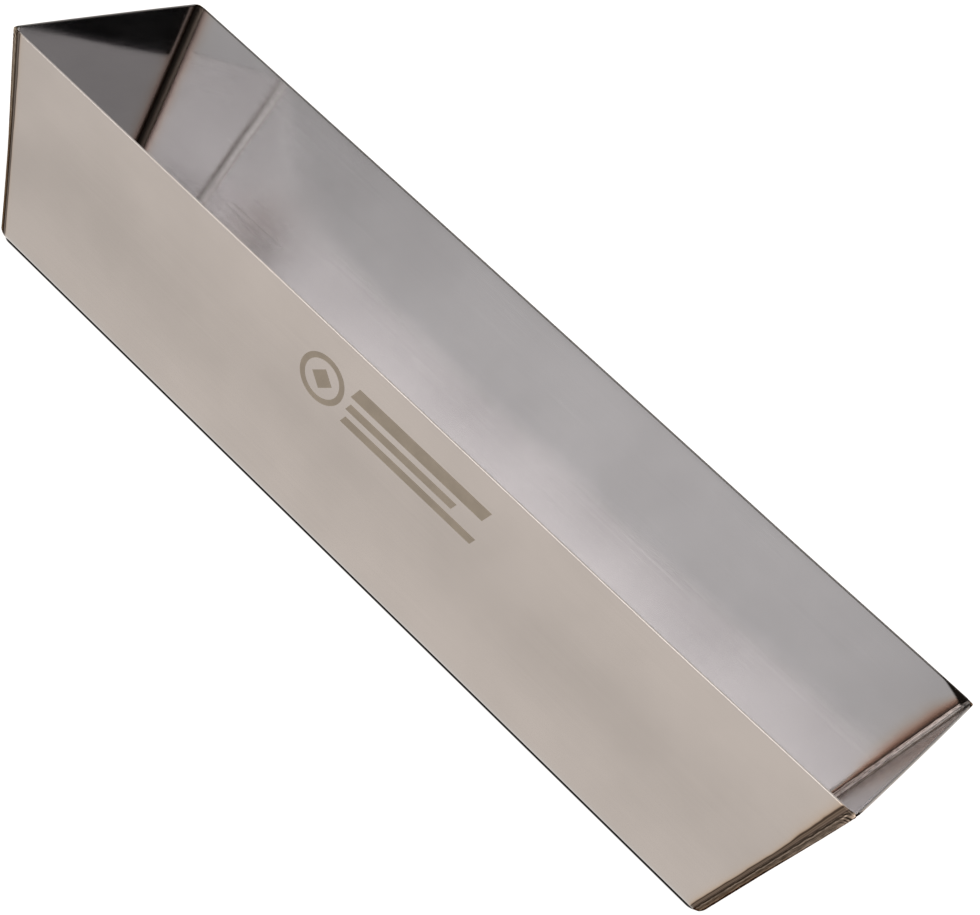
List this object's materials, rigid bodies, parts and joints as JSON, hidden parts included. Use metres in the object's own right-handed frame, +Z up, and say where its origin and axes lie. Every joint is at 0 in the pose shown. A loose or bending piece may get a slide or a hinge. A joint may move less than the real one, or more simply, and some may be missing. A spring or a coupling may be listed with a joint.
{
  "type": "drywall mud pan",
  "caption": "Long tapered stainless-steel trough with welded ends that holds drywall compound while a taping knife is loaded from it.",
  "frame": {"origin": "middle of the flat bottom's outside face, on the surface that the pan stands on", "axes": "+X along the pan towards its right end, +Y across it towards the back wall, +Z up out of the open top"},
  "size_m": [0.4064, 0.1086, 0.0878],
  "materials": {
    "stainless_sheet": "satin-bright cold-rolled stainless steel with a faint grain along the pan",
    "weld_metal": "dressed weld metal with fine ripples and straw to brown heat tint at its edges"
  },
  "bodies": {
    "root": {"trough_sheet": "stainless_sheet", "end_plate_left": "stainless_sheet", "end_plate_right": "stainless_sheet", "weld_left_front": "weld_metal", "weld_left_bottom": "weld_metal", "weld_left_back": "weld_metal", "weld_right_front": "weld_metal", "weld_right_bottom": "weld_metal", "weld_right_back": "weld_metal"}
  },
  "joints": []
}
